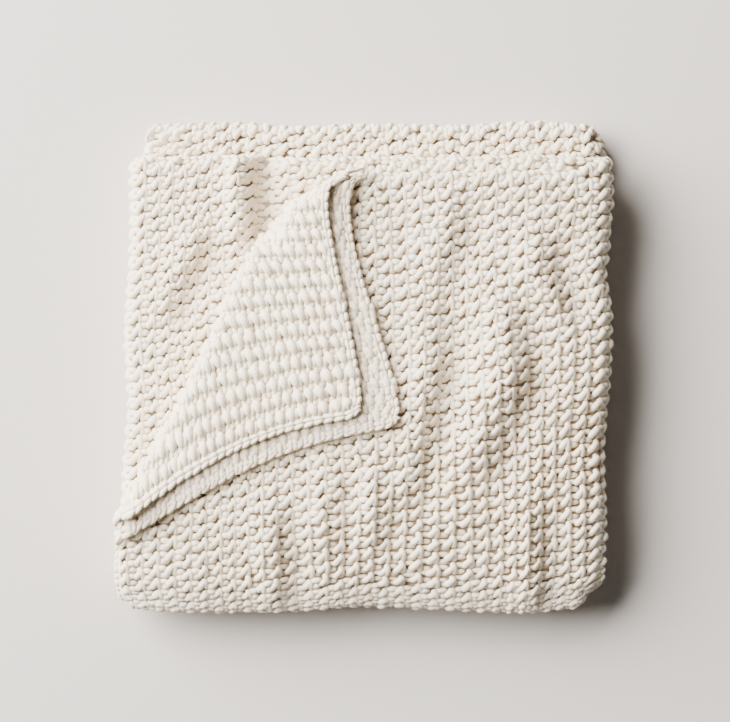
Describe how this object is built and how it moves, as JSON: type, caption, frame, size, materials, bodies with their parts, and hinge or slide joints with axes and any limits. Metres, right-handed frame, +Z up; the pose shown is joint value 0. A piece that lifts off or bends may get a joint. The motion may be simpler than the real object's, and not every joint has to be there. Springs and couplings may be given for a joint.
{
  "type": "folded throw blanket",
  "caption": "Chunky-knit throw folded into a square packet, with one corner of the top leaf turned back.",
  "frame": {"origin": "on the surface it rests on, under the middle of the packet", "axes": "+Z up, +Y towards the back, where the loose ends of the upper half lie, +X right, with the front fold along X"},
  "size_m": [0.425, 0.425, 0.0837],
  "materials": {
    "chunky_knit": "matte cream cotton yarn, chunky knit",
    "chain_edge": "matte cream cotton yarn, chain-stitched edge"
  },
  "bodies": {
    "lower_half": {"back_centre_third_bend": "chunky_knit", "back_left_third_bend": "chunky_knit", "back_right_third_bend": "chunky_knit", "left_edge_1": "chain_edge", "left_edge_2": "chain_edge", "lower_centre_third_inner_ply": "chunky_knit", "lower_centre_third_outer_ply": "chunky_knit", "lower_left_inner_side_bend": "chunky_knit", "lower_left_outer_side_bend": "chunky_knit", "lower_left_third_inner_ply": "chunky_knit", "lower_left_third_outer_ply": "chunky_knit", "lower_right_inner_side_bend": "chunky_knit", "lower_right_outer_side_bend": "chunky_knit", "lower_right_third_inner_ply": "chunky_knit", "lower_right_third_outer_ply": "chunky_knit", "right_edge_3": "chain_edge", "right_edge_4": "chain_edge"},
    "upper_half": {"back_edge_10": "chain_edge", "back_edge_11": "chain_edge", "back_edge_12": "chain_edge", "back_edge_7": "chain_edge", "back_edge_8": "chain_edge", "back_edge_9": "chain_edge", "front_bend_1": "chunky_knit", "front_bend_2": "chunky_knit", "front_bend_3": "chunky_knit", "front_bend_4": "chunky_knit", "front_bend_5": "chunky_knit", "front_bend_6": "chunky_knit", "front_left_inner_corner_bend": "chunky_knit", "front_left_outer_corner_bend": "chunky_knit", "front_right_inner_corner_bend": "chunky_knit", "front_right_outer_corner_bend": "chunky_knit", "left_edge_11": "chain_edge", "left_edge_12": "chain_edge", "right_edge_10": "chain_edge", "right_edge_9": "chain_edge", "upper_centre_third_inner_ply": "chunky_knit", "upper_centre_third_outer_ply": "chunky_knit", "upper_left_inner_side_bend": "chunky_knit", "upper_left_outer_side_bend": "chunky_knit", "upper_left_third_inner_ply": "chunky_knit", "upper_left_third_outer_ply": "chunky_knit", "upper_right_inner_side_bend": "chunky_knit", "upper_right_outer_side_bend": "chunky_knit", "upper_right_third_inner_ply": "chunky_knit", "upper_right_third_outer_ply": "chunky_knit"},
    "turned_corner": {"crease_inner_bend": "chunky_knit", "crease_outer_bend": "chunky_knit", "flap_lower_front_edge": "chain_edge", "flap_lower_ply": "chunky_knit", "flap_lower_right_edge": "chain_edge", "flap_upper_front_edge": "chain_edge", "flap_upper_ply": "chunky_knit", "flap_upper_right_edge": "chain_edge"}
  },
  "joints": [
    {"name": "half_fold", "type": "hinge", "parent": "lower_half", "child": "upper_half", "pos_m": [0, -0.17665, 0.03585], "axis": [1, 0, 0], "range_deg": [0, 180], "deforming": ["front_bend_1", "front_bend_2", "front_bend_3", "front_bend_4", "front_bend_5", "front_bend_6", "front_left_inner_corner_bend", "front_left_outer_corner_bend", "front_right_inner_corner_bend", "front_right_outer_corner_bend"]},
    {"name": "corner_fold", "type": "hinge", "parent": "upper_half", "child": "turned_corner", "pos_m": [-0.1215, 0.031, 0.07185], "axis": [-0.5464, -0.8376, 0], "range_deg": [0, 179], "deforming": ["crease_inner_bend", "crease_outer_bend"]}
  ]
}
